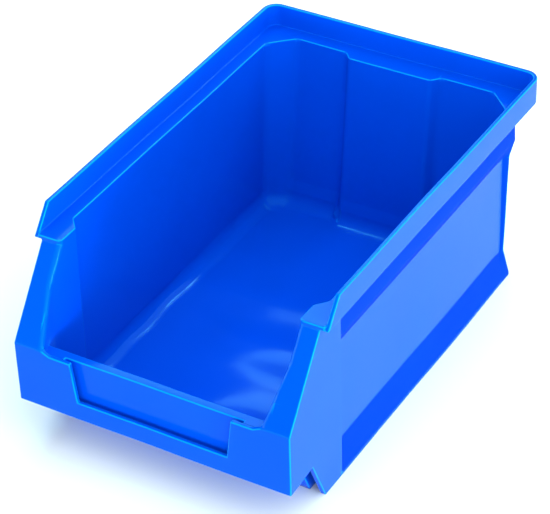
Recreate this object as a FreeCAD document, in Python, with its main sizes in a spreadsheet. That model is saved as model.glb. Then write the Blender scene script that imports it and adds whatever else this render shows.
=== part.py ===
import FreeCAD, Part
import math
import os

import Sketcher

# Stackable storage bin, open at the front, moulded in one piece.
# The moulding is split along its own features into named solids that meet face to face.
# Frame: +Z up, +Y from the open front to the back, +X to the right of someone who
# faces the open front.
# The origin is at the centre of the bin's box, on the surface that it stands on.
# Heights are above that surface. Depths are measured back from the front face.

DIMENSIONS = {
    # the whole bin
    "length": 162.0,
    "width": 102.0,
    "height": 73.0,
    # wall thicknesses
    "wall": 1.5,
    "lip_wall": 1.4,
    "front_wall": 1.4,
    # stacking rail: a flat shelf with a lip round its outer edge
    "shelf_top": 65.2,
    "shelf_wall": 1.4,
    "lip_corner": 5.0,
    "lip_knee_depth": 25.5,
    "lip_tip_depth": 18.5,
    # the cavity's walls
    "cavity_half": 44.7,
    "panel_half": 46.2,
    "floor_top": 3.0,
    "floor_wall": 1.4,
    "cove": 5.0,
    "back_low_depth": 147.9,
    "back_high_depth": 155.4,
    "corner_half": 36.9,
    "corner_low_depth": 143.4,
    "corner_high_depth": 147.8,
    "boss_half": 15.3,
    "boss_foot_half": 18.0,
    "boss_rise": 3.0,
    "corner_split_half": 34.0,
    "corner_split_depth": 140.0,
    # ledge under the rail, raised rear posts and sill round the base
    "ledge_foot": 49.0,
    "ledge_brow": 53.5,
    "ledge_half": 48.0,
    "ledge_neck_half": 47.6,
    "ledge_corner_depth": 149.6,
    "ledge_back_depth": 158.7,
    "post_foot_depth": 143.8,
    "post_low_half": 47.2,
    "post_low_depth": 144.8,
    "post_high_half": 48.0,
    "post_high_depth": 146.7,
    "sill_top": 12.2,
    "sill_edge": 1.2,
    "sill_half": 48.2,
    "sill_corner_depth": 148.3,
    "sill_back_depth": 153.0,
    # front pillars: outer wing, slanted face and inner wall
    "wing_half": 48.2,
    "wing_back_depth": 30.8,
    "face_foot": 36.9,
    "face_depth": 1.7,
    "throat_foot_half": 38.2,
    "throat_half": 41.2,
    "throat_bend_depth": 12.0,
    "throat_back_depth": 26.7,
    # nose: the raised front part of the bin's underside
    "nose_bottom": 15.0,
    "nose_apex": 16.4,
    "nose_apex_depth": 13.1,
    "nose_floor_bottom": 16.0,
    "nose_floor_top": 17.4,
    "foot_depth": 20.6,
    "foot_wall": 1.6,
    # label holder in the front wall
    "window_low_half": 26.4,
    "window_high_half": 28.2,
    "window_bottom": 21.6,
    "cheek_top": 35.7,
    "cheek_shoulder_half": 35.7,
    "pocket_half": 31.4,
    "pocket_depth": 2.9,
    "pocket_bottom": 20.0,
    "label_wall_top": 35.3,
    "label_rim_depth": 5.7,
    "label_rim_foot": 32.8,
}
COVE_STEPS = 6

document = FreeCAD.newDocument("storage_bin")
sheet = document.addObject("Spreadsheet::Sheet", "dims")
parts = []


class Size:
    """A length with its value and the sheet expression that gives it."""

    def __init__(self, value, text):
        self.value = value
        self.text = text

    def __add__(self, other):
        other = as_size(other)
        return Size(self.value + other.value, f"({self.text} + {other.text})")

    def __sub__(self, other):
        other = as_size(other)
        return Size(self.value - other.value, f"({self.text} - {other.text})")

    def __mul__(self, other):
        other = as_size(other)
        return Size(self.value * other.value, f"({self.text} * {other.text})")

    def __truediv__(self, other):
        other = as_size(other)
        return Size(self.value / other.value, f"({self.text} / {other.text})")

    def __neg__(self):
        return Size(-self.value, f"(0 - {self.text})")


def as_size(number):
    """Wrap a plain number, so that it can be joined to a Size."""
    if isinstance(number, Size):
        return number
    return Size(float(number), f"{float(number):.6f}")


def fill_sheet():
    """Write each driving dimension to a row of the sheet, with its name as the alias."""
    for row, (name, value) in enumerate(DIMENSIONS.items(), start=1):
        sheet.set(f"A{row}", name)
        sheet.set(f"B{row}", str(value))
        sheet.setAlias(f"B{row}", name)
    document.recompute()


def size(name):
    """The named driving dimension."""
    return Size(DIMENSIONS[name], f"dims.{name}")


def depth(name):
    """The y of a named depth behind the front face."""
    return behind_front(size(name))


def behind_front(distance):
    """The y of a distance behind the front face."""
    return as_size(distance) - size("length") / 2


def blend(low, high, share):
    """The size that lies a share of the way from low to high."""
    return low + (high - low) * share


# ---- building blocks ----------------------------------------------------------------


def new_body(label):
    body = document.addObject("PartDesign::Body", label)
    body.Label = label
    return body


def origin_plane(body, role):
    for feature in body.Origin.OriginFeatures:
        if feature.Role == role:
            return feature
    raise ValueError(role)


def closed_sketch(body, role, points, offset):
    """A closed outline on one of the body's origin planes, moved along its normal."""
    sketch = body.newObject("Sketcher::SketchObject", "outline")
    sketch.AttachmentSupport = [(origin_plane(body, role), "")]
    sketch.MapMode = "FlatFace"
    sketch.AttachmentOffset = FreeCAD.Placement(
        FreeCAD.Vector(0, 0, offset.value), FreeCAD.Rotation()
    )
    sketch.setExpression("AttachmentOffset.Base.z", offset.text)
    corners = [FreeCAD.Vector(u.value, v.value, 0) for u, v in points]
    count = len(corners)
    for index in range(count):
        segment = Part.LineSegment(corners[index], corners[(index + 1) % count])
        sketch.addGeometry(segment, False)
    for index in range(count):
        following = (index + 1) % count
        sketch.addConstraint(Sketcher.Constraint("Coincident", index, 2, following, 1))
    for index, (u, v) in enumerate(points):
        bind(sketch, "DistanceX", index, u)
        bind(sketch, "DistanceY", index, v)
    return sketch


def bind(sketch, kind, index, distance):
    """Hold the start of a segment at a distance from the sketch's origin."""
    number = sketch.addConstraint(
        Sketcher.Constraint(kind, -1, 1, index, 1, distance.value)
    )
    sketch.setExpression(f"Constraints[{number}]", distance.text)


def pad(label, role, points, start, end):
    """A straight prism of the outline, from start to end along the plane's normal."""
    body = new_body(label)
    sketch = closed_sketch(body, role, points, start)
    feature = body.newObject("PartDesign::Pad", "prism")
    feature.Profile = sketch
    feature.Length = (end - start).value
    feature.setExpression("Length", (end - start).text)
    return body


def prism_up(label, points, low, high):
    """Plan outline (x, y), from one height to another."""
    return pad(label, "XY_Plane", points, low, high)


def prism_across(label, points, left, right):
    """Side outline (y, z), from one x to another."""
    return pad(label, "YZ_Plane", points, left, right)


def prism_along(label, points, front, back):
    """Front outline (x, z), from one y to another."""
    return pad(label, "XZ_Plane", points, -back, -front)


def loft(label, sections):
    """Straight-sided loft through plan outlines, each given as (height, points)."""
    body = new_body(label)
    sketches = [closed_sketch(body, "XY_Plane", points, level) for level, points in sections]
    feature = body.newObject("PartDesign::AdditiveLoft", "loft")
    feature.Profile = sketches[0]
    feature.Sections = sketches[1:]
    feature.Ruled = True
    return body


def common(label, first, second):
    """The space that two prisms share."""
    both = document.addObject("Part::Common", label)
    both.Base = first
    both.Tool = second
    both.Label = label
    return both


def keep(*solids):
    """Count the solids as sub-parts."""
    parts.extend(solids)


def keep_pair(solid):
    """Count a right-hand solid and its mirror image as sub-parts."""
    label = solid.Label
    mirrored = document.addObject("Part::Mirroring", label.replace("right", "left"))
    mirrored.Source = solid
    mirrored.Normal = (1, 0, 0)
    mirrored.Base = (0, 0, 0)
    mirrored.Label = label.replace("right", "left")
    keep(solid, mirrored)


def rectangle(u_low, u_high, v_low, v_high):
    return [(u_low, v_low), (u_high, v_low), (u_high, v_high), (u_low, v_high)]


# ---- sizes that follow from the driving dimensions -------------------------------------


def shelf_bottom():
    return size("shelf_top") - size("shelf_wall")


def lip_half():
    return size("width") / 2


def lip_inner_half():
    return lip_half() - size("lip_wall")


def lip_back():
    return size("length") / 2


def lip_inner_back():
    return lip_back() - size("lip_wall")


def rise(level):
    """How far up the cavity a height is, from 0 at its floor to 1 under the shelf."""
    floor = size("floor_top")
    return (level - floor) / (shelf_bottom() - floor)


def back_face(level):
    """The y of the back wall's inner face, which leans back as it rises."""
    low = depth("back_low_depth")
    return blend(low, depth("back_high_depth"), rise(level))


def corner_start(level):
    """The y where the cavity's side meets its rear corner face."""
    low = depth("corner_low_depth")
    return blend(low, depth("corner_high_depth"), rise(level))


def cavity_corner(level, inset):
    """Plan points of the cavity's right rear corner, from the side to the back."""
    slope = math.atan2(
        DIMENSIONS["back_low_depth"] - DIMENSIONS["corner_low_depth"],
        DIMENSIONS["cavity_half"] - DIMENSIONS["corner_half"],
    )
    side_turn = math.tan((math.pi / 2 - slope) / 2)
    back_turn = math.tan(slope / 2)
    return [
        (size("cavity_half") - inset, depth("corner_split_depth")),
        (size("cavity_half") - inset, corner_start(level) - inset * side_turn),
        (size("corner_half") - inset * back_turn, back_face(level) - inset),
        (size("corner_split_half"), back_face(level) - inset),
    ]


def cavity_back(level, inset):
    """Plan points of the cavity's back, from right to left, round its proud centre."""
    plane = back_face(level) - inset
    proud = plane - size("boss_rise")
    return [
        (size("corner_split_half"), plane),
        (size("boss_foot_half"), plane),
        (size("boss_half"), proud),
        (-size("boss_half"), proud),
        (-size("boss_foot_half"), plane),
        (-size("corner_split_half"), plane),
    ]


def post_corner(level):
    """Outer plan points of the right rear post, from the back to the side."""
    outer_back = back_face(level) + size("wall")
    edge_half = blend(size("post_low_half"), size("post_high_half"), rise(level))
    edge_depth = blend(depth("post_low_depth"), depth("post_high_depth"), rise(level))
    return [
        (size("corner_split_half"), outer_back),
        (size("corner_half") + size("wall") / 2, outer_back),
        (edge_half, edge_depth),
        (size("panel_half"), depth("post_foot_depth")),
        (size("panel_half"), depth("corner_split_depth")),
    ]


def ledge_corner(half):
    """Outer plan points of the ledge round the right rear corner."""
    chamfer = size("ledge_back_depth") - size("ledge_corner_depth")
    back = depth("ledge_back_depth")
    return [
        (size("corner_split_half"), back),
        (size("ledge_half") - chamfer, back),
        (half, depth("ledge_corner_depth")),
        (half, depth("post_foot_depth")),
        (half, depth("corner_split_depth")),
    ]


def sill_corner():
    """Outer plan points of the sill's edge round the right rear corner."""
    chamfer = size("sill_back_depth") - size("sill_corner_depth")
    back = depth("sill_back_depth")
    half = size("sill_half")
    return [
        (size("corner_split_half"), back),
        (half - chamfer, back),
        (half, depth("sill_corner_depth")),
        (half, depth("post_foot_depth")),
        (half, depth("corner_split_depth")),
    ]


def cove_levels():
    """Height and inset of each step of the rounded cove between floor and walls."""
    levels = []
    for step in range(COVE_STEPS + 1):
        turn = math.pi / 2 * step / COVE_STEPS
        height = size("floor_top") + size("cove") * (1 - math.cos(turn))
        inset = size("cove") * (1 - math.sin(turn))
        levels.append((height, inset))
    return levels


def sill_share(level):
    """How far up the sill's sloping face a height is."""
    edge = size("sill_edge")
    return (level - edge) / (size("sill_top") - edge)


def between(low_points, high_points, share):
    """Plan points a share of the way from one outline to another."""
    return [
        (blend(low[0], high[0], share), blend(low[1], high[1], share))
        for low, high in zip(low_points, high_points)
    ]


def throat_points(bend_offset):
    """Plan points of the right pillar's inner wall, moved outwards by an offset."""
    return [
        (size("throat_foot_half") + bend_offset, behind_front(size("front_wall"))),
        (size("throat_half") + bend_offset, depth("throat_bend_depth")),
        (size("throat_half") + bend_offset, depth("throat_back_depth") - bend_offset / 2),
    ]


def throat_half_at(distance):
    """The half width between the pillars at a depth near the front wall."""
    run = size("throat_bend_depth") - size("front_wall")
    share = (as_size(distance) - size("front_wall")) / run
    return blend(size("throat_foot_half"), size("throat_half"), share)


# ---- base and floor -------------------------------------------------------------------


def build_floor():
    """Flat floor inside the sill, with its front edge on the nose's riser."""
    front = behind_front(size("foot_depth") + size("foot_wall"))
    level = size("floor_top")
    right = cavity_corner(level, size("cove"))
    back = cavity_back(level, size("cove"))
    left = [(-x, y) for x, y in reversed(right)]
    outline = [(right[0][0], front)] + right + back[1:-1] + left + [(left[-1][0], front)]
    bottom = size("floor_top") - size("floor_wall")
    keep(prism_up("floor_pan", outline, bottom, size("floor_top")))


def build_front_feet():
    """Solid corner of the base under each pillar's inner wall."""
    inner = size("cavity_half") - size("cove")
    front = behind_front(size("foot_depth") + size("foot_wall"))
    back = depth("wing_back_depth")
    outer = throat_points(size("wall"))
    outline = [
        (inner, front),
        (outer[2][0], front),
        outer[2],
        (size("panel_half"), back - size("wall") / 2),
        (size("panel_half"), back),
        (inner, back),
    ]
    keep_pair(prism_up("right_front_foot", outline, as_size(0), size("floor_top")))


def build_side_sills():
    """Sloping sill along each side of the base, with the cove on its inside."""
    inner = [(size("cavity_half") - inset, height) for height, inset in cove_levels()]
    outline = [
        (size("cavity_half") - size("cove"), as_size(0)),
        (size("sill_half"), as_size(0)),
        (size("sill_half"), size("sill_edge")),
        (size("panel_half"), size("sill_top")),
        (size("cavity_half"), size("sill_top")),
    ] + list(reversed(inner))
    front = depth("wing_back_depth")
    back = depth("corner_split_depth")
    keep_pair(prism_along("right_side_sill", outline, front, back))


def sill_sections(inner_points, low_outer, high_outer):
    """Sections of a sill from the ground to its top, with the cove on its inside."""
    floor = size("floor_top")
    ground = inner_points(floor, size("cove"))
    sections = [
        (as_size(0), ground + low_outer),
        (size("sill_edge"), ground + low_outer),
    ]
    for height, inset in cove_levels():
        outer = between(low_outer, high_outer, sill_share(height))
        sections.append((height, inner_points(floor, inset) + outer))
    top = size("sill_top")
    sections.append((top, inner_points(top, as_size(0)) + high_outer))
    return sections


def build_corner_sills():
    sections = sill_sections(cavity_corner, sill_corner(), post_corner(size("sill_top")))
    keep_pair(loft("right_rear_sill", sections))


def build_back_sill():
    top = size("sill_top")
    split = size("corner_split_half")
    low_back = depth("sill_back_depth")
    high_back = back_face(top) + size("wall")
    low_outer = [(-split, low_back), (split, low_back)]
    high_outer = [(-split, high_back), (split, high_back)]
    keep(loft("back_sill", sill_sections(cavity_back, low_outer, high_outer)))


# ---- walls ------------------------------------------------------------------------------


def build_side_panels():
    """Thin recessed panel along each side."""
    outline = rectangle(
        size("cavity_half"), size("panel_half"), size("sill_top"), size("ledge_foot")
    )
    front = depth("wing_back_depth")
    back = depth("corner_split_depth")
    keep_pair(prism_along("right_side_panel", outline, front, back))


def build_side_ledges():
    """Thicker ledge that carries the rail along each side."""
    outline = [
        (size("cavity_half"), size("ledge_foot")),
        (size("panel_half"), size("ledge_foot")),
        (size("ledge_half"), size("ledge_brow")),
        (size("ledge_neck_half"), shelf_bottom()),
        (size("cavity_half"), shelf_bottom()),
    ]
    front = depth("wing_back_depth")
    back = depth("corner_split_depth")
    keep_pair(prism_along("right_side_ledge", outline, front, back))


def build_rear_corners():
    """Rear corner post and the ledge above it."""
    low = size("sill_top")
    foot = size("ledge_foot")
    brow = size("ledge_brow")
    top = shelf_bottom()
    nothing = as_size(0)
    post = [
        (low, cavity_corner(low, nothing) + post_corner(low)),
        (foot, cavity_corner(foot, nothing) + post_corner(foot)),
    ]
    keep_pair(loft("right_rear_post", post))
    ledge = [
        post[1],
        (brow, cavity_corner(brow, nothing) + ledge_corner(size("ledge_half"))),
        (top, cavity_corner(top, nothing) + ledge_corner(size("ledge_neck_half"))),
    ]
    keep_pair(loft("right_rear_ledge", ledge))


def back_side_section(level):
    plane = back_face(level)
    foot = size("boss_foot_half")
    return level, rectangle(foot, size("corner_split_half"), plane, plane + size("wall"))


def back_centre_section(level):
    """Plan of the proud centre of the back wall, one wall thick all the way round."""
    plane = back_face(level)
    wall = size("wall")
    proud = plane - size("boss_rise")
    foot = size("boss_foot_half")
    crest = size("boss_half")
    inner = [(foot, plane), (crest, proud), (-crest, proud), (-foot, plane)]
    shift = wall / 3
    outer = [
        (-foot, plane + wall),
        (shift - crest, proud + wall),
        (crest - shift, proud + wall),
        (foot, plane + wall),
    ]
    return level, inner + outer


def build_back_wall():
    """Leaning back wall, with its proud centre and the ledge along its top."""
    low = size("sill_top")
    foot = size("ledge_foot")
    keep_pair(loft("right_back_panel", [back_side_section(low), back_side_section(foot)]))
    keep(loft("centre_back_panel", [back_centre_section(low), back_centre_section(foot)]))
    split = size("corner_split_half")
    sections = []
    for level in (foot, size("ledge_brow"), shelf_bottom()):
        plane = depth("ledge_back_depth")
        if level is foot:
            plane = back_face(foot) + size("wall")
        outer = [(-split, plane), (split, plane)]
        sections.append((level, cavity_back(level, as_size(0)) + outer))
    keep(loft("back_ledge", sections))


# ---- rail: shelf and lip -----------------------------------------------------------------


def build_shelves():
    """Flat stacking shelf along the sides, round the corners and along the back."""
    low = shelf_bottom()
    top = size("shelf_top")
    side = rectangle(
        size("cavity_half"),
        lip_inner_half(),
        depth("wing_back_depth"),
        depth("corner_split_depth"),
    )
    keep_pair(prism_up("right_shelf", side, low, top))
    throat = throat_points(as_size(0))
    tab = [
        (throat[2][0], depth("lip_tip_depth")),
        (lip_inner_half(), depth("lip_tip_depth")),
        (lip_inner_half(), depth("wing_back_depth")),
        (size("cavity_half"), depth("wing_back_depth")),
        throat[2],
    ]
    keep_pair(prism_up("right_shelf_tab", tab, low, top))
    back = cavity_back(low, as_size(0)) + [
        (-size("corner_split_half"), lip_inner_back()),
        (size("corner_split_half"), lip_inner_back()),
    ]
    keep(prism_up("back_shelf", back, low, top))
    build_corner_shelves(low, top)


def build_corner_shelves(low, top):
    """Shelf round each rear corner, with its outer corner rounded inside the lip."""
    inner = cavity_corner(low, as_size(0))
    arc_half = lip_half() - size("lip_corner")
    arc_back = lip_back() - size("lip_corner")
    outline = inner + [
        (size("corner_split_half"), lip_inner_back()),
        (arc_half, lip_inner_back()),
        (arc_half, arc_back),
        (lip_inner_half(), arc_back),
        (lip_inner_half(), depth("corner_split_depth")),
    ]
    plate = prism_up("corner_shelf_plate", outline, low, top)
    radius = size("lip_corner") - size("lip_wall")
    quarter = quarter_cylinder("corner_shelf_round", radius, low, top)
    corner = document.addObject("Part::Fuse", "right_corner_shelf")
    corner.Base = plate
    corner.Tool = quarter
    corner.Refine = True
    corner.Label = "right_corner_shelf"
    keep_pair(corner)


def quarter_cylinder(label, radius, low, top):
    """A quarter disc about the centre of the lip's right rear corner."""
    quarter = document.addObject("Part::Cylinder", label)
    quarter.Label = label
    quarter.Angle = 90
    quarter.setExpression("Radius", radius.text)
    quarter.setExpression("Height", (top - low).text)
    quarter.setExpression("Placement.Base.x", (lip_half() - size("lip_corner")).text)
    quarter.setExpression("Placement.Base.y", (lip_back() - size("lip_corner")).text)
    quarter.setExpression("Placement.Base.z", low.text)
    return quarter


def build_lips():
    """Lip that stands up round the shelf, cut back at a slant at its front ends."""
    low = shelf_bottom()
    top = size("height")
    arc_half = lip_half() - size("lip_corner")
    arc_back = lip_back() - size("lip_corner")
    side = [
        (depth("lip_tip_depth"), low),
        (arc_back, low),
        (arc_back, top),
        (depth("lip_knee_depth"), top),
    ]
    keep_pair(prism_across("right_lip", side, lip_inner_half(), lip_half()))
    back = rectangle(-arc_half, arc_half, lip_inner_back(), lip_back())
    keep(prism_up("back_lip", back, low, top))
    corner = document.addObject("Part::Cut", "right_corner_lip")
    corner.Base = quarter_cylinder("corner_lip_outer", size("lip_corner"), low, top)
    bore_radius = size("lip_corner") - size("lip_wall")
    corner.Tool = quarter_cylinder("corner_lip_inner", bore_radius, low, top)
    corner.Label = "right_corner_lip"
    keep_pair(corner)


# ---- front pillars ------------------------------------------------------------------------


def build_wings():
    """Flat outer skin of each pillar, from the rail down to the foot."""
    outline = [
        (behind_front(0), size("nose_bottom")),
        (depth("front_wall"), size("nose_bottom")),
        (depth("nose_apex_depth"), size("nose_apex")),
        (depth("foot_depth"), as_size(0)),
        (depth("wing_back_depth"), as_size(0)),
        (depth("wing_back_depth"), shelf_bottom()),
        (depth("lip_tip_depth"), shelf_bottom()),
        (behind_front(0), size("face_foot")),
    ]
    keep_pair(prism_across("right_wing", outline, size("panel_half"), size("wing_half")))


def face_underside(distance):
    """Height of the slanted face's underside at a distance behind the front face."""
    slope = (shelf_bottom() - size("face_foot")) / size("lip_tip_depth")
    return size("face_foot") + (as_size(distance) - size("face_depth")) * slope


def build_pillar_faces():
    """Slanted face of each pillar, between the wing and the inner wall."""
    wall = size("front_wall")
    top_depth = size("lip_tip_depth") + size("face_depth")
    strip = [
        (behind_front(0), size("face_foot")),
        (behind_front(wall), size("face_foot")),
        (behind_front(wall), face_underside(wall)),
        (behind_front(top_depth), shelf_bottom()),
        (depth("lip_tip_depth"), shelf_bottom()),
    ]
    throat = throat_points(as_size(0))
    plan = [
        (size("throat_foot_half"), behind_front(0)),
        (size("panel_half"), behind_front(0)),
        (size("panel_half"), depth("throat_back_depth")),
        throat[2],
        throat[1],
        throat[0],
    ]
    slab = prism_across("face_slab", strip, size("pocket_half"), size("panel_half"))
    column = prism_up("face_column", plan, size("window_bottom"), size("shelf_top"))
    keep_pair(common("right_pillar_face", slab, column))


def build_pillar_walls():
    """Inner wall of each pillar, which widens into the side of the cavity."""
    inner = throat_points(as_size(0))
    outer = throat_points(size("wall"))
    back = depth("wing_back_depth")
    plan = inner + [
        (size("cavity_half"), back),
        (size("panel_half"), back),
        (size("panel_half"), back - size("wall") / 2),
    ] + list(reversed(outer))
    wall = size("front_wall")
    top_depth = size("lip_tip_depth") + size("face_depth")
    riser_top = behind_front(riser_back())
    foot_back = behind_front(size("foot_depth") + size("foot_wall"))
    side = [
        (behind_front(wall), size("nose_floor_top")),
        (riser_top, size("nose_floor_top")),
        (behind_front(size("foot_depth") + size("foot_wall") / 4), size("floor_top")),
        (foot_back, size("floor_top")),
        (back, size("floor_top")),
        (back, shelf_bottom()),
        (behind_front(top_depth), shelf_bottom()),
        (behind_front(wall), face_underside(wall)),
    ]
    column = prism_up("pillar_wall_column", plan, as_size(0), size("shelf_top"))
    slab = prism_across("pillar_wall_slab", side, size("pocket_half"), size("wing_half"))
    keep_pair(common("right_pillar_wall", column, slab))


# ---- nose and front wall --------------------------------------------------------------------


def riser_front():
    """Depth where the riser's outer face meets the nose floor's underside."""
    drop = size("nose_apex") - size("nose_floor_bottom")
    run = size("foot_depth") - size("nose_apex_depth")
    return size("nose_apex_depth") + run * drop / size("nose_apex")


def riser_back():
    """Depth where the riser's inner face meets the nose floor's top."""
    return riser_front() + size("foot_wall") * 0.75


def build_nose():
    """Raised floor behind the front wall, and the riser down to the foot.

    Both end at the pillars' inner walls, so that each pillar's hollow is open below.
    """
    wall = size("front_wall")
    half = size("throat_half") + size("wall")
    front_half = throat_half_at(wall) + size("wall")
    front = behind_front(wall)
    bend = depth("throat_bend_depth")
    back = behind_front(riser_front())
    floor = [
        (-front_half, front),
        (front_half, front),
        (half, bend),
        (half, back),
        (-half, back),
        (-half, bend),
    ]
    keep(prism_up("nose_floor", floor, size("nose_floor_bottom"), size("nose_floor_top")))
    foot_back = behind_front(size("foot_depth") + size("foot_wall"))
    riser = [
        (back, size("nose_floor_bottom")),
        (depth("foot_depth"), as_size(0)),
        (foot_back, as_size(0)),
        (foot_back, size("floor_top")),
        (behind_front(size("foot_depth") + size("foot_wall") / 4), size("floor_top")),
        (behind_front(riser_back()), size("nose_floor_top")),
        (back, size("nose_floor_top")),
    ]
    keep(prism_across("nose_riser", riser, -half, half))


def build_front_frame():
    """Front sheet: an apron below the label window and a cheek on each side of it."""
    front = behind_front(0)
    back = behind_front(size("front_wall"))
    half = size("panel_half")
    apron = rectangle(-half, half, size("nose_bottom"), size("window_bottom"))
    keep(prism_along("front_apron", apron, front, back))
    cheek = [
        (size("window_low_half"), size("window_bottom")),
        (half, size("window_bottom")),
        (half, size("face_foot")),
        (size("throat_foot_half"), size("face_foot")),
        (size("cheek_shoulder_half"), size("cheek_top")),
        (size("window_high_half"), size("cheek_top")),
    ]
    keep_pair(prism_along("right_front_cheek", cheek, front, back))


def build_label_holder():
    """Recessed wall behind the window, with a slot round it for a label card."""
    low = size("nose_floor_top")
    top = size("label_wall_top")
    wall = size("front_wall")
    pocket = size("pocket_depth")
    back = pocket + wall
    label_wall = [
        (-throat_half_at(pocket), behind_front(pocket)),
        (throat_half_at(pocket), behind_front(pocket)),
        (throat_half_at(back), behind_front(back)),
        (-throat_half_at(back), behind_front(back)),
    ]
    keep(prism_up("label_wall", label_wall, low, top))
    guide = [
        (size("pocket_half"), behind_front(wall)),
        (throat_half_at(wall), behind_front(wall)),
        (throat_half_at(pocket), behind_front(pocket)),
        (size("pocket_half"), behind_front(pocket)),
    ]
    keep_pair(prism_up("right_label_guide", guide, low, top))
    stop = rectangle(
        -size("pocket_half"), size("pocket_half"), behind_front(wall), behind_front(pocket)
    )
    keep(prism_up("label_stop", stop, low, size("pocket_bottom")))
    rim_back = size("label_rim_depth")
    rim_plan = [
        (-throat_half_at(back), behind_front(back)),
        (throat_half_at(back), behind_front(back)),
        (throat_half_at(rim_back), behind_front(rim_back)),
        (-throat_half_at(rim_back), behind_front(rim_back)),
    ]
    rim_side = [
        (behind_front(back), size("label_rim_foot")),
        (behind_front(rim_back), top - wall / 2),
        (behind_front(rim_back), top),
        (behind_front(back), top),
    ]
    column = prism_up("label_rim_column", rim_plan, low, top)
    half = size("cavity_half")
    slab = prism_across("label_rim_slab", rim_side, -half, half)
    keep(common("label_rim", column, slab))


# ---- checks and files ---------------------------------------------------------------------


def check_document():
    for item in document.Objects:
        for state in item.State:
            if state in ("Invalid", "Error"):
                raise RuntimeError(f"{item.Label}: {item.State}")


def write_parts():
    os.makedirs("parts", exist_ok=True)
    for part in parts:
        shape = part.Shape
        if shape.isNull() or not shape.isValid() or len(shape.Solids) != 1:
            raise RuntimeError(f"{part.Label}: not one sound solid")
        if shape.Volume <= 0:
            raise RuntimeError(f"{part.Label}: no volume")
    for part in parts:
        part.Shape.exportStep(f"parts/{part.Label}.step")
        box = part.Shape.BoundBox
        print(
            f"{part.Label:24s} {part.Shape.Volume:9.1f} mm3"
            f"  x {box.XMin:7.2f} {box.XMax:7.2f}"
            f"  y {box.YMin:7.2f} {box.YMax:7.2f}"
            f"  z {box.ZMin:6.2f} {box.ZMax:6.2f}"
        )
    print(len(parts), "parts")


def main():
    fill_sheet()
    build_floor()
    build_front_feet()
    build_side_sills()
    build_corner_sills()
    build_back_sill()
    build_side_panels()
    build_side_ledges()
    build_rear_corners()
    build_back_wall()
    build_shelves()
    build_lips()
    build_wings()
    build_pillar_faces()
    build_pillar_walls()
    build_nose()
    build_front_frame()
    build_label_holder()
    document.recompute()
    check_document()
    write_parts()


main()
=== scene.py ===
import math

import bmesh
import bpy
from mathutils import Matrix, Vector, noise


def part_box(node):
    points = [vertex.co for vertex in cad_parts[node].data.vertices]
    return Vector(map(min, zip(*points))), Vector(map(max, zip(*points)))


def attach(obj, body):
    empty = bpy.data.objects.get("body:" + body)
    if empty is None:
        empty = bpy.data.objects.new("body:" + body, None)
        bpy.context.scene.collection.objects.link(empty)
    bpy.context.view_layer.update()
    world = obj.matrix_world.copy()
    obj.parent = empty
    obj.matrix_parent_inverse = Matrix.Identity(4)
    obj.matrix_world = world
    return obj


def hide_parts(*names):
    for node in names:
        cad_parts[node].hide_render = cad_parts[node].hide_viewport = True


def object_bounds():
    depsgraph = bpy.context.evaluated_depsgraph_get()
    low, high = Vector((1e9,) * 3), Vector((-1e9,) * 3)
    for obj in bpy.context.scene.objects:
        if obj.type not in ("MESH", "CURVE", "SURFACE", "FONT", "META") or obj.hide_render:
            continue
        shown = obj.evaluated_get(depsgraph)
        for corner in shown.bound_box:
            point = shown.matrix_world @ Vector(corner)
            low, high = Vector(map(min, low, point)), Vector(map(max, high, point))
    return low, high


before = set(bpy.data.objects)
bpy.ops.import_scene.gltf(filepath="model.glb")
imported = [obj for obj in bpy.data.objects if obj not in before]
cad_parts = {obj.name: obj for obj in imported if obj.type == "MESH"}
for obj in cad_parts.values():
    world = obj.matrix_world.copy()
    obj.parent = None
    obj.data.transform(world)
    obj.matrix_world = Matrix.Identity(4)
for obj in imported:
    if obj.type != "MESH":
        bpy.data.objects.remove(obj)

# A stackable storage bin, open at the front, moulded in one piece from blue polypropylene.
# The CAD nodes are joined into one skin. Its edges are rounded as a moulding's are, and its
# walls get a moulding's slight waviness. Then it is cut into closed, named pieces.
# Frame: metres, +Z up, the open front at -Y, +X to the right of someone who faces it.

CAD_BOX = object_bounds()
MM = 0.001
SLOT = "blue_polypropylene"
LOW, HIGH = CAD_BOX

# places closer than these count as the same: for points, for edges and for sums
CLOSE = 0.01 * MM
NEAR = 0.05 * MM
TINY = 1e-9

# joining the nodes: welding distances, the turn between faces that count as one plane, the
# area of a sliver, and how far a pillar wall's top goes into the face above it
WELD = 0.001 * MM
WELD_SEAM = 0.004 * MM
FLAT_TURN = math.radians(0.6)
SLIVER = 0.1 * MM * MM
SINK = 0.3 * MM

# shares of a unit normal along one axis, which tell the side faces apart
SLIGHT = 0.05
SOME = 0.3
HALF = 0.5
MUCH = 0.6
MOST = 0.75
NEARLY_ALL = 0.9

# rounding radii of the moulding's edges, with pairs for outward and for inward edges, and
# the share of the room beside an edge that its radius may take up
ROUND_MAX = 3.0 * MM
ROUND_EDGE = 0.42 * MM
ROUND_LEAST = 0.06 * MM
ROUND_REAR = 1.5 * MM
ROUND_BACK = 1.3 * MM
ROUND_PILLAR = (1.7 * MM, 0.9 * MM)
ROUND_THROAT = (2.6 * MM, 1.5 * MM)
ROUND_RIM = 0.7 * MM
ROUND_COVE = 0.9 * MM
ROOM_SHARE = 0.42
NO_LIMIT = 1.0
BEVEL_STEPS = 4

# turns from which an edge is rounded: at the back, on the pillars, in the throat and
# elsewhere
BACK_TURN = math.radians(3)
PILLAR_TURN = math.radians(20)
THROAT_TURN = math.radians(10)
SHARP_TURN = math.radians(19)

# an edge is steep if it rises by more than the first share of its length, and level if it
# rises by less than the second
STEEP = 0.3
LEVEL = 0.02

# cosine between the directions of two edges that run on in nearly one line
IN_LINE = -0.9

# the planes that let flat faces bend: spacing, shift back in steps, and snapping distance
GRID = 3.0 * MM
GRID_SHIFT = 0.37
GRID_SNAP = 0.002 * MM

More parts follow.
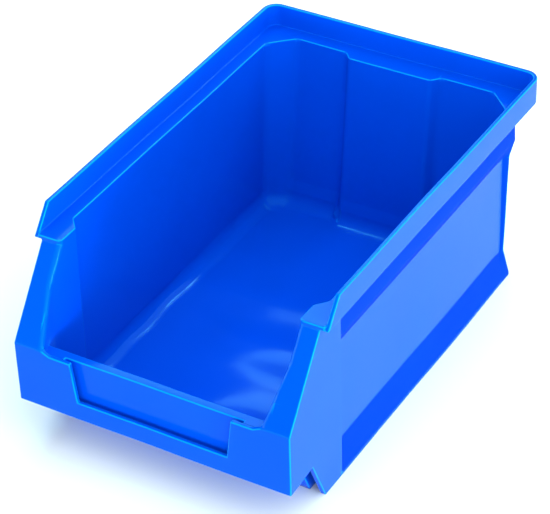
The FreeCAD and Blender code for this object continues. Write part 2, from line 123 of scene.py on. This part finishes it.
# waviness of the moulded walls, fading towards the foot, and of the cavity's floor
NOISE_SEED = 4
WAVE_WIDE = 38 * MM
WAVE_HIGH = 0.22 * MM
WAVE_START = Vector((3.1, 7.4, 1.9))
WAVE_FINE = 13 * MM
RIPPLE_HIGH = 0.035 * MM
RIPPLE_START = Vector((8.2, 2.7, 5.3))
FOOT_FADE = 4 * MM
FLOOR_WAVE = Vector((34 * MM, 15 * MM))
FLOOR_START = 0.4
FLOOR_HIGH = 1.1 * MM
FLOOR_LIFT = 0.8

# cutting: snapping distance, and the length below which a kept normal is a cap's zero
CUT_SNAP = 0.0001 * MM
NO_NORMAL = 0.1

# how much larger faces count in the shading normals, and the least distance between face
# middles when a bend is measured
AREA_WEIGHT = 50
BEND_LEAST = 0.1 * MM

# attributes of the skin: its shading normals, and how tightly it bends outwards (masks the
# painted highlight)
KEPT = "kept_normal"
BEND = "bend"

# the studio's light tent: brightness low in front, behind and overhead, and the spans of
# direction over which each fades into the next
TENT_GLOW = 7.0
TENT_BACK = 0.12
TENT_TOP = 2.7
TENT_DEPTH = (-0.2, 0.5)
TENT_RISE = (0.02, 0.42)
TENT_TILT = (0.45, 0.0, 0.89)
TENT_ROOF = (0.35, 0.85)
TENT_COLOUR = (0.74, 1.0, 1.0, 1)

# the soft lights: azimuth and elevation in degrees, width and height, and power
SOFTBOXES = {
    "back_light": (-149, 36, (0.36, 0.36), 3.4),
    "cove_light": (177, 46, (0.13, 0.13), 1.6),
    "edge_light": (-100, 62, (0.2, 0.2), 3.2),
    "side_light": (84, 2, (1.0, 0.08), 28),
}
SOFTBOX_AWAY = 1.3
SOFTBOX_COLOUR = (0.3, 0.8, 1.0)

# the camera: its place round the bin and its roll in degrees, its distance in millimetres,
# what it aims at from the bin's centre, and its lens
VIEW_AZIMUTH = 30.957
VIEW_ELEVATION = 35.671
VIEW_ROLL = -1.690
VIEW_AWAY = 818.76
VIEW_AIM = Vector((-18.48, 24.35, -24.43)) * MM
VIEW_LENS = 160.24
VIEW_SENSOR = 36
VIEW_SHIFT = 0.0016
VIEW_CLIP = 0.05

# the floor that the bin stands on
PAPER_REACH = 3.0
PAPER_COLOUR = (0.92, 0.76, 0.75, 1)
PAPER_ROUGHNESS = 0.9

# linear colours of the plastic, with a painted highlight for its edges and painted shade
# for its side bands
BLUE_DEEP = (0.0, 0.050, 0.50, 1)
BLUE_CLEAR = (0.0, 0.060, 0.57, 1)
# painted highlight: the lighter blue mixed in along tightly rounded edges
EDGE_HIGHLIGHT_BLUE = (0.0, 0.3, 0.85, 1)
# painted shade: darker blues for the matte side bands
PAINTED_SHADE_BAND_DEEP = (0.0, 0.022, 0.37, 1)
PAINTED_SHADE_BAND_CLEAR = (0.0, 0.029, 0.43, 1)
# the largest share of the painted edge highlight
EDGE_HIGHLIGHT_SHARE = 0.5

# the plastic's colour mottling, flow ripples and grain, the bumps they make, and its gloss
CLOUD = {"Scale": 34.0, "Detail": 3.0}
SWIRL = {"Scale": 120.0, "Detail": 4.0, "Distortion": 1.2}
POLISHED_GRAIN = {"Scale": 2600.0, "Detail": 2.0}
MATTE_GRAIN = {"Scale": 1900.0, "Detail": 3.0}
SWIRL_BUMP = {"Strength": 0.25, "Distance": 0.1 * MM}
POLISHED_BUMP = {"Strength": 0.06, "Distance": 0.05 * MM}
MATTE_BUMP = {"Strength": 0.3, "Distance": 0.08 * MM}
POLISHED_ROUGHNESS = (0.08, 0.2)
MATTE_ROUGHNESS = (0.6, 0.75)
POLISHED_GLOSS = 0.16
MATTE_GLOSS = 0.05
PLASTIC_IOR = 1.4
GLOSS_TINT = (0.1, 0.9, 1.0, 1.0)

# sockets of the mix node that carry its share and its colours
MIX_SHARE, MIX_FIRST, MIX_SECOND, MIX_RESULT = 0, 6, 7, 2


# ---- reading the frame -----------------------------------------------------------------


def corner(node, side):
    """Low or high corner of a CAD node, in metres."""
    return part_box(node)[side]


SHELF_LOW = corner("right_shelf", 0).z
SHELF_TOP = corner("right_shelf", 1).z
SILL_TOP = corner("right_side_sill", 1).z
WING_BACK = corner("right_wing", 1).y
WING_IN = corner("right_wing", 0).x
CAVITY_HALF = corner("right_side_panel", 0).x
CORNER_FRONT = corner("back_sill", 0).y
SIDE_END = corner("right_side_panel", 1).y
FACE_FOOT = corner("right_front_cheek", 1).z
FLOOR_TOP = corner("floor_pan", 1).z
NOSE_TOP = corner("nose_floor", 1).z
RISER_BACK = corner("nose_riser", 1).y
RIM_BACK = corner("label_rim", 1).y
THROAT_FOOT = corner("right_pillar_wall", 0).x
POST_X = corner("right_rear_post", 0).x


def widest_level(node):
    """Highest z among a right-hand node's outermost points."""
    places = [vert.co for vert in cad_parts[node].data.vertices]
    reach = max(place.x for place in places)
    return max(place.z for place in places if place.x > reach - CLOSE)


def post_foot():
    """The y where the rear post starts to stand out from the side panel."""
    places = [vert.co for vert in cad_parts["right_rear_post"].data.vertices]
    return min(p.y for p in places if p.x > WING_IN - CLOSE and p.y > SIDE_END + MM)


def back_lean():
    """The y of the right back panel's inner face at its foot and at its top."""
    places = [vert.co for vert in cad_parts["right_back_panel"].data.vertices]
    low = min(p.y for p in places if p.z < SILL_TOP + CLOSE)
    high = min(p.y for p in places if p.z > SILL_TOP + MM)
    return low, high


SILL_EDGE = widest_level("right_side_sill")
BROW = widest_level("right_side_ledge")
LEDGE_FOOT = corner("right_side_ledge", 0).z
POST_FOOT = post_foot()
COVE_TOP = FLOOR_TOP + 5 * MM
BACK_LOW, BACK_HIGH = back_lean()
BANDS = (SILL_EDGE, SILL_TOP, LEDGE_FOOT, BROW, SHELF_LOW)

# heights where the cavity floor's ripple starts and where it has faded away
FADE_LOW = FLOOR_TOP - 0.1 * MM
FADE_TOP = COVE_TOP + 3 * MM

# limits of the regions whose edges have radii of their own
REAR_CORNER_X = 30 * MM
CENTRE_STEP_X = 20 * MM
BACK_SLACK = 0.6 * MM
PILLAR_LOW = FACE_FOOT - 0.5 * MM
PILLAR_IN = THROAT_FOOT - 0.1 * MM
THROAT_END = WING_BACK - 5 * MM
FOOT_TOP = 0.5 * MM
OUTSIDE = CAVITY_HALF + 0.5 * MM

# planes where the skin is cut into pieces, clear of its flat faces
RAIL_CUT = SHELF_LOW - 0.8 * MM
TRAY_CUT = SILL_TOP - 0.5 * MM
FRONT_CUT = WING_BACK - 0.9 * MM
REAR_CUT = CORNER_FRONT + 0.7 * MM
PILLAR_CUT = THROAT_FOOT - 0.9 * MM
PANEL_CUT = RIM_BACK + 1.1 * MM
POST_CUT = POST_X + 0.6 * MM


# ---- joining the nodes into one skin ---------------------------------------------------


def sink_into_face(wall):
    """Raise a pillar wall's slanted top a little, into the slanted face that covers it."""
    for vert in wall.verts:
        if FACE_FOOT - MM < vert.co.z < SHELF_LOW - MM:
            vert.co.z += SINK


def joined_skin():
    """One closed mesh of all CAD nodes, which meet face to face."""
    operands = bpy.data.collections.new("operands")
    bpy.context.scene.collection.children.link(operands)
    copies = []
    for name in sorted(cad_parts):
        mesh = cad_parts[name].data.copy()
        welded = bmesh.new()
        welded.from_mesh(mesh)
        bmesh.ops.remove_doubles(welded, verts=welded.verts, dist=WELD)
        if name.endswith("pillar_wall"):
            sink_into_face(welded)
        welded.to_mesh(mesh)
        welded.free()
        copies.append(bpy.data.objects.new("copy_" + name, mesh))
    first = copies[0]
    bpy.context.scene.collection.objects.link(first)
    for copy in copies[1:]:
        operands.objects.link(copy)
    joiner = first.modifiers.new("join", "BOOLEAN")
    joiner.operation = "UNION"
    joiner.operand_type = "COLLECTION"
    joiner.collection = operands
    joiner.solver = "EXACT"
    graph = bpy.context.evaluated_depsgraph_get()
    skin = bmesh.new()
    skin.from_mesh(bpy.data.meshes.new_from_object(first.evaluated_get(graph)))
    for copy in copies:
        mesh = copy.data
        bpy.data.objects.remove(copy)
        bpy.data.meshes.remove(mesh)
    bpy.data.collections.remove(operands)
    return skin


def clean_skin(skin):
    """Weld the skin, close pin holes and merge the faces that lie in one plane."""
    bmesh.ops.remove_doubles(skin, verts=skin.verts, dist=WELD_SEAM)
    open_edges = [edge for edge in skin.edges if edge.is_boundary]
    bmesh.ops.holes_fill(skin, edges=open_edges, sides=0)
    bmesh.ops.dissolve_limit(
        skin, angle_limit=FLAT_TURN, verts=skin.verts, edges=skin.edges
    )
    bmesh.ops.recalc_face_normals(skin, faces=skin.faces)


def corner_patch(face):
    """Which twisted patch of a rear corner a face is part of, if any."""
    middle = face.calc_center_median()
    side = math.copysign(1, middle.x)
    if middle.y < CORNER_FRONT or middle.z > SHELF_LOW - CLOSE:
        return None
    across, back = face.normal.x * side, face.normal.y
    rise = abs(face.normal.z)
    if across < -SOME and back < -MUCH and middle.z > COVE_TOP and rise < SOME:
        return (side, "inner")
    if rise > NEARLY_ALL:
        return None
    band = sum(middle.z > level for level in BANDS)
    if across > SOME and back > SOME:
        return (side, "chamfer", band)
    if across > HALF and back < SOME and middle.y > POST_FOOT:
        return (side, "strip", band)
    return None


def merge_corner_facets(skin):
    """Make each twisted patch of the rear corners one face."""
    patches = {}
    for face in skin.faces:
        patch = corner_patch(face)
        if patch is None and face.calc_area() < SLIVER:
            beside = [other for edge in face.edges for other in edge.link_faces]
            found = [corner_patch(other) for other in beside if corner_patch(other)]
            patch = found[0] if found else None
        patches.setdefault(patch, []).append(face)
    patches.pop(None)
    for faces in patches.values():
        if len(faces) > 1:
            bmesh.ops.dissolve_faces(skin, faces=faces, use_verts=True)


# ---- rounding the edges ----------------------------------------------------------------


def room_beside(face, edge):
    """Least distance from an edge, across a face, to the face's opposite edges."""
    start, end = edge.verts[0].co, edge.verts[1].co
    length = (end - start).length
    along = (end - start) / length
    inward = face.normal.cross(along)
    if (face.calc_center_median() - start).dot(inward) < 0:
        inward = -inward
    room = NO_LIMIT
    for other in face.edges:
        if set(other.verts) & set(edge.verts):
            continue
        p, q = (
            ((vert.co - start).dot(along), (vert.co - start).dot(inward))
            for vert in other.verts
        )
        if p[0] > q[0]:
            p, q = q, p
        if q[0] <= 0 or p[0] >= length:
            continue
        span = max(q[0] - p[0], TINY)
        for place in (max(p[0], 0), min(q[0], length)):
            height = p[1] + (q[1] - p[1]) * (place - p[0]) / span
            if height > WELD:
                room = min(room, height)
    return room


def wanted_radius(edge):
    """How round an edge of the moulding is, by where it is. Zero leaves it as it is."""
    ends = [vert.co for vert in edge.verts]
    middle = (ends[0] + ends[1]) / 2
    half = abs(middle.x)
    run = ends[1] - ends[0]
    turn = edge.calc_face_angle(0)
    steep = abs(run.z) > STEEP * run.length
    level = abs(run.z) < LEVEL * run.length
    cavity = min(half, abs(ends[0].x), abs(ends[1].x)) < CAVITY_HALF + NEAR
    below_rail = FLOOR_TOP - CLOSE < middle.z < SHELF_TOP - CLOSE
    if cavity and below_rail and middle.y > CORNER_FRONT and turn > BACK_TURN:
        inner = middle.y < inner_back(middle.z) + BACK_SLACK
        if inner and not level and half > REAR_CORNER_X:
            return ROUND_REAR
        if inner and not level and half < CENTRE_STEP_X:
            return ROUND_BACK
    pillar = middle.z > PILLAR_LOW and half > PILLAR_IN
    throat = middle.y > RIM_BACK + MM and middle.z > NOSE_TOP or pillar
    throat = throat and middle.y < THROAT_END
    if throat and below_rail and steep and THROAT_FOOT - MM < half < CAVITY_HALF + MM:
        if turn > (PILLAR_TURN if pillar else THROAT_TURN):
            outward, inward = ROUND_PILLAR if pillar else ROUND_THROAT
            return outward if edge.is_convex else inward
    ends_cove = all(abs(end.y - WING_BACK) < NEAR for end in ends)
    if turn < SHARP_TURN or ends_cove and middle.z < COVE_TOP and cavity:
        return 0.0
    if middle.z < FOOT_TOP and middle.y < WING_BACK - CLOSE and half < WING_IN + MM:
        return 0.0
    if abs(middle.y - RIM_BACK) < NEAR and half < CAVITY_HALF and level:
        return ROUND_RIM
    if cavity and below_rail and not edge.is_convex and middle.y > RIM_BACK + MM:
        return ROUND_COVE
    return ROUND_EDGE


def inner_back(level):
    """The y of the cavity's back at a height, as the CAD's leaning panels have it."""
    share = (level - SILL_TOP) / (LEDGE_FOOT - SILL_TOP)
    return BACK_LOW + (BACK_HIGH - BACK_LOW) * share


def edge_radius(edge):
    """The wanted radius, or less where the faces beside the edge are narrow."""
    wanted = wanted_radius(edge)
    if wanted == 0:
        return 0.0
    room = min(room_beside(face, edge) for face in edge.link_faces)
    return max(min(wanted, ROOM_SHARE * room), ROUND_LEAST)


def in_line(first, second):
    """True if two edges that share an end run on in nearly one line."""
    shared = (set(first.verts) & set(second.verts)).pop()
    ahead = (first.other_vert(shared).co - shared.co).normalized()
    behind = (second.other_vert(shared).co - shared.co).normalized()
    return ahead.dot(behind) < IN_LINE


def even_out(radii):
    """Give edges that run on in nearly one line the least radius among them."""
    changed = True
    while changed:
        changed = False
        for edge in radii:
            for vert in edge.verts:
                for other in vert.link_edges:
                    if other is edge or other not in radii:
                        continue
                    if radii[other] < radii[edge] - TINY and in_line(edge, other):
                        radii[edge] = radii[other]
                        changed = True


def round_edges(skin):
    """Round every sharp edge of the skin, each with its own radius."""
    weights = skin.edges.layers.float.new("bevel_weight_edge")
    radii = {edge: edge_radius(edge) for edge in skin.edges}
    radii = {edge: radius for edge, radius in radii.items() if radius > 0}
    even_out(radii)
    for edge, radius in radii.items():
        edge[weights] = radius / ROUND_MAX
    mesh = bpy.data.meshes.new("rounded")
    skin.to_mesh(mesh)
    holder = bpy.data.objects.new("rounded", mesh)
    bpy.context.scene.collection.objects.link(holder)
    bevel = holder.modifiers.new("round", "BEVEL")
    bevel.limit_method = "WEIGHT"
    bevel.width = ROUND_MAX
    bevel.segments = BEVEL_STEPS
    bevel.use_clamp_overlap = False
    graph = bpy.context.evaluated_depsgraph_get()
    result = bmesh.new()
    result.from_mesh(bpy.data.meshes.new_from_object(holder.evaluated_get(graph)))
    bpy.data.objects.remove(holder)
    return result


# ---- waviness and shading normals ------------------------------------------------------


def cut_grid(skin):
    """Cut the skin along planes, so that its flat faces can bend a little."""
    for axis in (2, 0, 1):
        normal = Vector((0, 0, 0))
        normal[axis] = 1
        steps = int((HIGH[axis] - LOW[axis]) / GRID)
        for step in range(1, steps + 1):
            place = Vector(LOW)
            place[axis] += GRID * (step - GRID_SHIFT)
            parts = skin.verts[:] + skin.edges[:] + skin.faces[:]
            bmesh.ops.bisect_plane(
                skin, geom=parts, dist=GRID_SNAP, plane_co=place, plane_no=normal
            )


def warp(place):
    """Where the waviness of the moulding takes a point."""
    wide = noise.noise_vector(place / WAVE_WIDE + WAVE_START)
    fine = noise.noise_vector(place / WAVE_FINE + RIPPLE_START)
    shift = wide * WAVE_HIGH + fine * RIPPLE_HIGH
    shift.z *= min(max(place.z / FOOT_FADE, 0), 1)
    inside = abs(place.x) < CAVITY_HALF and RISER_BACK < place.y < CORNER_FRONT
    if inside and FADE_LOW < place.z < FADE_TOP:
        fade = 1 - max(place.z - FLOOR_TOP, 0) / (FADE_TOP - FLOOR_TOP)
        spread = Vector((place.x / FLOOR_WAVE.x, place.y / FLOOR_WAVE.y, FLOOR_START))
        ripple = noise.noise_vector(spread)
        shift += Vector((ripple.x, ripple.y, ripple.z * FLOOR_LIFT)) * FLOOR_HIGH * fade
    return place + shift


def shaded(skin):
    """The skin as a mesh whose normals keep the flats flat and the roundings round."""
    mesh = bpy.data.meshes.new("shaded")
    skin.to_mesh(mesh)
    mesh.shade_smooth()
    holder = bpy.data.objects.new("shaded", mesh)
    bpy.context.scene.collection.objects.link(holder)
    weighting = holder.modifiers.new("weighted", "WEIGHTED_NORMAL")
    weighting.mode = "FACE_AREA"
    weighting.weight = AREA_WEIGHT
    graph = bpy.context.evaluated_depsgraph_get()
    result = bpy.data.meshes.new_from_object(holder.evaluated_get(graph))
    bpy.data.objects.remove(holder)
    return result


def keep_normals(mesh):
    """Write the shading normals into an attribute that cuts carry along."""
    kept = mesh.attributes.new(KEPT, "FLOAT_VECTOR", "CORNER")
    flat = [value for normal in mesh.corner_normals for value in normal.vector]
    kept.data.foreach_set("vector", flat)


def mark_bends(skin):
    """Write how tightly the skin bends outwards at each point, 0 to 1."""
    bend = skin.verts.layers.float.new(BEND)
    for vert in skin.verts:
        tightest = 0.0
        for edge in vert.link_edges:
            first, second = edge.link_faces
            apart = (first.calc_center_median() - second.calc_center_median()).length
            bend_here = edge.calc_face_angle_signed(0) / max(apart, BEND_LEAST)
            tightest = max(tightest, bend_here)
        vert[bend] = min(max(tightest, 0) * ROUND_EDGE, 1) ** 2


def matte_shaded_band(face):
    """True for the matte outer faces of the sides: ledges, sills and rear posts, which also
    get a darker blue as painted shade.
    """
    middle = face.calc_center_median()
    across = face.normal.x * math.copysign(1, middle.x)
    if across < MOST or abs(middle.x) < OUTSIDE:
        return False
    if middle.y < WING_BACK or middle.z > SHELF_LOW:
        return False
    low_band = middle.z < SILL_TOP and abs(face.normal.z) > SLIGHT
    high_band = middle.z > LEDGE_FOOT and middle.y < POST_FOOT
    return low_band or high_band or middle.y > POST_FOOT


# ---- cutting into pieces ---------------------------------------------------------------


def half_of(part, axis, place, side):
    """The closed part of a mesh on one side of a plane across an axis."""
    half = part.copy()
    normal = Vector((0, 0, 0))
    normal[axis] = 1
    origin = Vector((0, 0, 0))
    origin[axis] = place
    bmesh.ops.bisect_plane(
        half,
        geom=half.verts[:] + half.edges[:] + half.faces[:],
        dist=CUT_SNAP,
        plane_co=origin,
        plane_no=normal,
        clear_outer=side < 0,
        clear_inner=side > 0,
    )
    rim = [edge for edge in half.edges if edge.is_boundary]
    if rim:
        filled = bmesh.ops.triangle_fill(
            half, edges=rim, use_beauty=False, use_dissolve=True, normal=normal * -side
        )
        caps = [item for item in filled["geom"] if isinstance(item, bmesh.types.BMFace)]
        layer = half.loops.layers.float_vector[KEPT]
        for face in caps:
            face.smooth = False
            for loop in face.loops:
                loop[layer] = (0, 0, 0)
        for edge in rim:
            edge.smooth = False
    return half


def piece_of(part, planes):
    """Cut a part down to one side of each plane: (axis, place, side)."""
    for axis, place, side in planes:
        part = half_of(part, axis, place, side)
    return part


def make_piece(name, part, materials, nodes):
    """Put a cut part into the scene as a piece that stands for its CAD nodes."""
    mesh = bpy.data.meshes.new(name)
    part.to_mesh(mesh)
    kept = mesh.attributes[KEPT].data
    normals = []
    for polygon in mesh.polygons:
        for index in polygon.loop_indices:
            normal = Vector(kept[index].vector)
            is_cap = normal.length <= NO_NORMAL
            normals.append(polygon.normal if is_cap else normal.normalized())
    mesh.normals_split_custom_set(normals)
    mesh.attributes.remove(mesh.attributes[KEPT])
    for material in materials:
        mesh.materials.append(material)
    piece = bpy.data.objects.new(name, mesh)
    bpy.context.scene.collection.objects.link(piece)
    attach(piece, "root")
    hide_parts(*nodes)


def both(*names):
    """Names of the right and left nodes of each kind."""
    return [side + "_" + name for name in names for side in ("right", "left")]


def piece_plan():
    """Name, cutting planes and CAD nodes of each piece."""
    x, y, z = 0, 1, 2
    rail = (z, RAIL_CUT, 1)
    below = (z, RAIL_CUT, -1)
    front = (y, FRONT_CUT, -1)
    middle = ((x, PILLAR_CUT, -1), (x, -PILLAR_CUT, 1))
    behind = (y, FRONT_CUT, 1)
    walls = (z, TRAY_CUT, 1)
    rear = (y, REAR_CUT, 1)
    plan = [
        (
            "base_tray",
            (below, behind, (z, TRAY_CUT, -1)),
            ["floor_pan", "back_sill"] + both("side_sill", "rear_sill"),
        ),
        (
            "back_wall",
            (below, behind, walls, rear, (x, POST_CUT, -1), (x, -POST_CUT, 1)),
            ["centre_back_panel", "back_ledge"] + both("back_panel"),
        ),
        (
            "back_rail",
            (rail, rear),
            ["back_shelf", "back_lip"] + both("corner_shelf", "corner_lip"),
        ),
        (
            "front_panel",
            (below, front, *middle, (y, PANEL_CUT, -1)),
            ["front_apron", "label_wall", "label_rim", "label_stop"]
            + both("front_cheek", "label_guide"),
        ),
        (
            "nose_step",
            (below, front, *middle, (y, PANEL_CUT, 1)),
            ["nose_floor", "nose_riser"],
        ),
    ]
    for side, sign in (("right", 1), ("left", -1)):
        plan += [
            (
                side + "_side_wall",
                (below, behind, walls, (y, REAR_CUT, -1), (x, 0, sign)),
                [side + "_side_panel", side + "_side_ledge"],
            ),
            (
                side + "_rear_corner",
                (below, behind, walls, rear, (x, POST_CUT * sign, sign)),
                [side + "_rear_post", side + "_rear_ledge"],
            ),
            (
                side + "_rail",
                (rail, (y, REAR_CUT, -1), (x, 0, sign)),
                [side + "_shelf", side + "_shelf_tab", side + "_lip"],
            ),
            (
                side + "_pillar",
                (below, front, (x, PILLAR_CUT * sign, sign)),
                [
                    side + "_wing",
                    side + "_pillar_face",
                    side + "_pillar_wall",
                    side + "_front_foot",
                ],
            ),
        ]
    return plan


# ---- material --------------------------------------------------------------------------


def add_node(tree, kind, inputs, **settings):
    """Add a shader node, set its inputs or link them, and set its options."""
    node = tree.nodes.new(kind)
    for name, value in settings.items():
        setattr(node, name, value)
    for name, value in inputs.items():
        if isinstance(value, bpy.types.NodeSocket):
            tree.links.new(value, node.inputs[name])
        else:
            node.inputs[name].default_value = value
    return node


def mapped(tree, value, span, ends, way="LINEAR"):
    """A value taken from one span of numbers to another."""
    inputs = {"Value": value, "From Min": span[0], "From Max": span[1]}
    inputs.update({"To Min": ends[0], "To Max": ends[1]})
    node = add_node(tree, "ShaderNodeMapRange", inputs, interpolation_type=way)
    return node.outputs["Result"]


def mixed_colour(tree, share, first, second):
    """Two colours mixed by a share."""
    inputs = {MIX_SHARE: share, MIX_FIRST: first, MIX_SECOND: second}
    mix = add_node(tree, "ShaderNodeMix", inputs, data_type="RGBA")
    return mix.outputs[MIX_RESULT]


def blue(tree, place, deep, clear):
    """The plastic's colour: faintly mottled, with a painted highlight of lighter blue along
    its tightly rounded edges.
    """
    cloud = textured(tree, place, CLOUD)
    bend = add_node(tree, "ShaderNodeAttribute", {}, attribute_name=BEND).outputs["Fac"]
    body = mixed_colour(tree, cloud, deep, clear)
    # painted highlight: lighter blue mixed in where the skin bends tightly outwards
    return mixed_colour(tree, mapped(tree, bend, (0, 1), (0, EDGE_HIGHLIGHT_SHARE)), body, EDGE_HIGHLIGHT_BLUE)


def textured(tree, place, settings):
    """The strength of a noise texture."""
    texture = add_node(tree, "ShaderNodeTexNoise", {"Vector": place, **settings})
    return texture.outputs["Fac"]


def bumped(tree, height, settings):
    """The normal that a height gives the surface."""
    bump = add_node(tree, "ShaderNodeBump", {"Height": height, **settings})
    return bump.outputs["Normal"]


def new_plastic(name):
    """An empty material, its tree, and the place on the object that is shaded."""
    material = bpy.data.materials.new(SLOT + name)
    material.use_nodes = True
    tree = material.node_tree
    tree.nodes.clear()
    place = add_node(tree, "ShaderNodeTexCoord", {}).outputs["Object"]
    return material, tree, place


def finish_plastic(tree, colour, roughness, normal, gloss):
    """Add the plastic's shader and the material's output."""
    settings = {
        "Base Color": colour,
        "Roughness": roughness,
        "Normal": normal,
        "IOR": PLASTIC_IOR,
        "Specular IOR Level": gloss,
        "Specular Tint": GLOSS_TINT,
    }
    shader = add_node(tree, "ShaderNodeBsdfPrincipled", settings)
    add_node(tree, "ShaderNodeOutputMaterial", {"Surface": shader.outputs["BSDF"]})


def polypropylene():
    """Polished blue polypropylene: glossy, slightly waxy, with soft flow ripples."""
    material, tree, place = new_plastic("_polished")
    swirl = textured(tree, place, SWIRL)
    grain = textured(tree, place, POLISHED_GRAIN)
    ripples = bumped(tree, swirl, SWIRL_BUMP)
    bumps = bumped(tree, grain, {**POLISHED_BUMP, "Normal": ripples})
    colour = blue(tree, place, BLUE_DEEP, BLUE_CLEAR)
    roughness = mapped(tree, swirl, (0, 1), POLISHED_ROUGHNESS)
    finish_plastic(tree, colour, roughness, bumps, POLISHED_GLOSS)
    return material


def matte_shaded_polypropylene():
    """The same plastic with a fine matte grain, and a darker blue that is painted shade on
    the side bands.
    """
    material, tree, place = new_plastic("_matte_painted_shade")
    grain = textured(tree, place, MATTE_GRAIN)
    bumps = bumped(tree, grain, MATTE_BUMP)
    # painted shade: the side bands get a darker blue
    colour = blue(tree, place, PAINTED_SHADE_BAND_DEEP, PAINTED_SHADE_BAND_CLEAR)
    roughness = mapped(tree, grain, (0, 1), MATTE_ROUGHNESS)
    finish_plastic(tree, colour, roughness, bumps, MATTE_GLOSS)
    return material


# ---- studio ----------------------------------------------------------------------------


def studio_floor():
    """A plain pale floor under the bin."""
    mesh = bpy.data.meshes.new("studio_floor")
    turns = ((-1, -1), (1, -1), (1, 1), (-1, 1))
    corners = [(x * PAPER_REACH, y * PAPER_REACH, 0) for x, y in turns]
    mesh.from_pydata(corners, [], [(0, 1, 2, 3)])
    floor = bpy.data.objects.new("studio_floor", mesh)
    bpy.context.scene.collection.objects.link(floor)
    material = bpy.data.materials.new("studio_paper")
    material.use_nodes = True
    shader = material.node_tree.nodes["Principled BSDF"]
    shader.inputs["Base Color"].default_value = PAPER_COLOUR
    shader.inputs["Roughness"].default_value = PAPER_ROUGHNESS
    shader.inputs["Specular IOR Level"].default_value = 0.0
    mesh.materials.append(material)


def direction(azimuth, elevation):
    """Unit vector from the bin towards an azimuth and elevation, in degrees."""
    turn, rise = math.radians(azimuth), math.radians(elevation)
    return Vector(
        (math.sin(turn) * math.cos(rise), -math.cos(turn) * math.cos(rise), math.sin(rise))
    )


def softbox(name, azimuth, elevation, size, power):
    """A soft light, of a width and a height, that faces the bin."""
    light = bpy.data.lights.new(name, "AREA")
    light.shape = "RECTANGLE"
    light.size, light.size_y = size
    light.energy = power
    light.color = SOFTBOX_COLOUR
    lamp = bpy.data.objects.new(name, light)
    back = direction(azimuth, elevation)
    centre = (LOW + HIGH) / 2
    lamp.location = centre + back * SOFTBOX_AWAY
    lamp.rotation_euler = back.to_track_quat("Z", "Y").to_euler()
    bpy.context.scene.collection.objects.link(lamp)


def sky():
    """A pale light tent: a glow low in front and beside the bin, and light overhead."""
    world = bpy.data.worlds.new("studio_sky")
    world.use_nodes = True
    tree = world.node_tree
    background = tree.nodes["Background"]
    look = add_node(tree, "ShaderNodeTexCoord", {}).outputs["Generated"]
    parts = add_node(tree, "ShaderNodeSeparateXYZ", {"Vector": look}).outputs
    ahead = mapped(tree, parts["Y"], TENT_DEPTH, (TENT_GLOW, TENT_BACK), "SMOOTHSTEP")
    low_down = mapped(tree, parts["Z"], TENT_RISE, (1, 0), "SMOOTHSTEP")
    toward_top = add_node(
        tree, "ShaderNodeVectorMath", {0: look, 1: TENT_TILT}, operation="DOT_PRODUCT"
    ).outputs["Value"]
    overhead = mapped(tree, toward_top, TENT_ROOF, (TENT_BACK, TENT_TOP), "SMOOTHSTEP")
    strength = add_node(
        tree,
        "ShaderNodeMath",
        {0: ahead, 1: low_down, 2: overhead},
        operation="MULTIPLY_ADD",
    ).outputs["Value"]
    background.inputs["Color"].default_value = TENT_COLOUR
    tree.links.new(strength, background.inputs["Strength"])
    bpy.context.scene.world = world


def photo_camera():
    """The camera at the photograph's viewing angle."""
    turn, roll = math.radians(VIEW_AZIMUTH), math.radians(VIEW_ROLL)
    back = direction(VIEW_AZIMUTH, VIEW_ELEVATION)
    right = Vector((math.cos(turn), math.sin(turn), 0))
    up = back.cross(right)
    right_rolled = right * math.cos(roll) + up * math.sin(roll)
    up_rolled = up * math.cos(roll) - right * math.sin(roll)
    target = (LOW + HIGH) / 2 + VIEW_AIM
    camera = bpy.data.cameras.new("photo_camera")
    camera.lens = VIEW_LENS
    camera.sensor_width = VIEW_SENSOR
    camera.shift_x = VIEW_SHIFT
    camera.clip_start = VIEW_CLIP
    holder = bpy.data.objects.new("photo_camera", camera)
    stance = Matrix((right_rolled, up_rolled, back)).transposed().to_4x4()
    stance.translation = target + back * VIEW_AWAY * MM
    holder.matrix_world = stance
    bpy.context.scene.collection.objects.link(holder)
    bpy.context.scene.camera = holder


# ---- build -----------------------------------------------------------------------------

skin = joined_skin()
clean_skin(skin)
merge_corner_facets(skin)
skin = round_edges(skin)
bmesh.ops.remove_doubles(skin, verts=skin.verts, dist=WELD)
cut_grid(skin)
mark_bends(skin)
for face in skin.faces:
    # the matte side bands, whose darker blue is painted shade, get the second finish
    face.material_index = int(matte_shaded_band(face))
noise.seed_set(NOISE_SEED)
for vert in skin.verts:
    vert.co = warp(vert.co)
mesh = shaded(skin)
keep_normals(mesh)
skin = bmesh.new()
skin.from_mesh(mesh)
finishes = (polypropylene(), matte_shaded_polypropylene())
for name, planes, nodes in piece_plan():
    make_piece(name, piece_of(skin, planes), finishes, nodes)
studio_floor()
sky()
for name, settings in SOFTBOXES.items():
    softbox(name, *settings)
photo_camera()
bpy.context.scene.view_settings.view_transform = "Standard"
